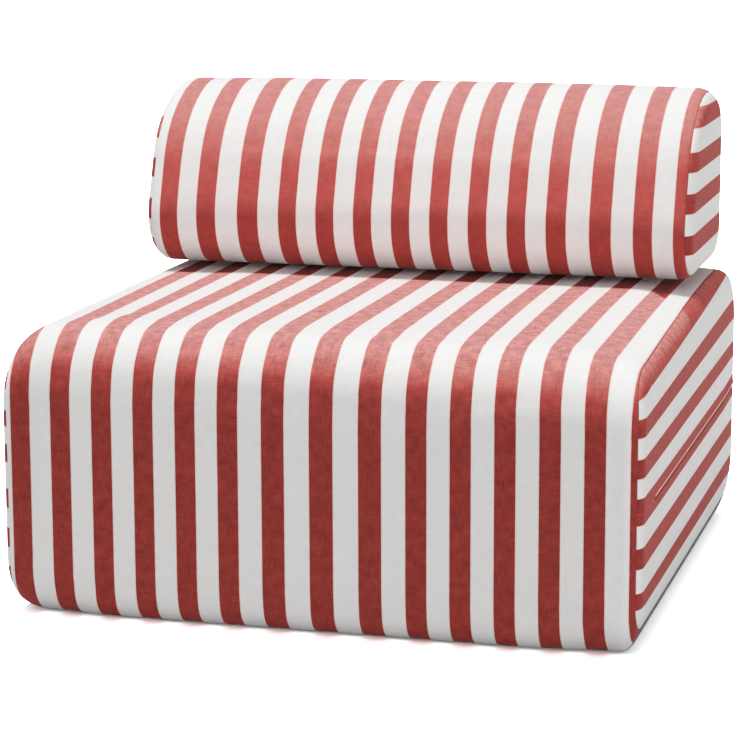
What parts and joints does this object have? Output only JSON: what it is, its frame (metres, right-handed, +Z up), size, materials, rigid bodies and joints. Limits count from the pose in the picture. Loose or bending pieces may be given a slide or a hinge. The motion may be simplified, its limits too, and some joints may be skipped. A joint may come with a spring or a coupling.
{
  "type": "armless outdoor lounge seat",
  "caption": "Low armless outdoor seat: a soft-edged foam block with a loose back bolster on top, both in zip-off covers of striped woven canvas.",
  "frame": {"origin": "on the floor, under the middle of the seat block", "axes": "+X across the seat to the right of someone facing its front, front towards -Y, +Z up"},
  "size_m": [0.8524, 0.83, 0.6573],
  "materials": {
    "stripe_canvas": "matte",
    "base_cloth": "matte",
    "firm_foam": "matte",
    "soft_foam": "matte",
    "wadding": "matte",
    "zip_tape": "matte",
    "zip_coil": "satin",
    "zip_metal": "satin",
    "loop_tape": "matte",
    "hook_tape": "matte"
  },
  "bodies": {
    "seat": {"seat_back_lower_panel": "stripe_canvas", "seat_base_foam": "firm_foam", "seat_base_panel": "base_cloth", "seat_comfort_foam": "soft_foam", "seat_left_lower_panel": "stripe_canvas", "seat_left_upper_panel": "stripe_canvas", "seat_loop_strips": "loop_tape", "seat_main_panel": "stripe_canvas", "seat_right_lower_panel": "stripe_canvas", "seat_right_upper_panel": "stripe_canvas", "seat_wadding": "wadding", "seat_zip_lower_coil": "zip_coil", "seat_zip_lower_tape": "zip_tape", "seat_zip_stops": "zip_metal", "seat_zip_upper_coil": "zip_coil", "seat_zip_upper_tape": "zip_tape"},
    "bolster": {"bolster_foam": "soft_foam", "bolster_hook_strips": "hook_tape", "bolster_left_end_panel": "stripe_canvas", "bolster_right_end_panel": "stripe_canvas", "bolster_wadding": "wadding", "bolster_wrap_panel": "stripe_canvas", "bolster_zip_lower_coil": "zip_coil", "bolster_zip_lower_tape": "zip_tape", "bolster_zip_stops": "zip_metal", "bolster_zip_upper_coil": "zip_coil", "bolster_zip_upper_tape": "zip_tape"},
    "seat_zip_slider": {"seat_zip_slider": "zip_metal"},
    "seat_zip_pull": {"seat_zip_pull": "zip_metal"},
    "bolster_zip_slider": {"bolster_zip_slider": "zip_metal"},
    "bolster_zip_pull": {"bolster_zip_pull": "zip_metal"}
  },
  "joints": [
    {"name": "bolster_lift", "type": "slide", "parent": "seat", "child": "bolster", "axis": [0, 0, 1], "range_m": [0, 0.3]},
    {"name": "seat_zip_run", "type": "slide", "parent": "seat", "child": "seat_zip_slider", "axis": [0, 1, 0], "range_m": [0, 0.69]},
    {"name": "seat_pull_swing", "type": "hinge", "parent": "seat_zip_slider", "child": "seat_zip_pull", "pos_m": [-0.426, -0.3325, 0.201], "axis": [0, 0, -1], "range_deg": [0, 170]},
    {"name": "bolster_zip_run", "type": "slide", "parent": "bolster", "child": "bolster_zip_slider", "axis": [1, 0, 0], "range_m": [0, 0.7]},
    {"name": "bolster_pull_swing", "type": "hinge", "parent": "bolster_zip_slider", "child": "bolster_zip_pull", "pos_m": [-0.3515, 0.3985, 0.4853], "axis": [0, 0, -1], "range_deg": [0, 170]}
  ]
}
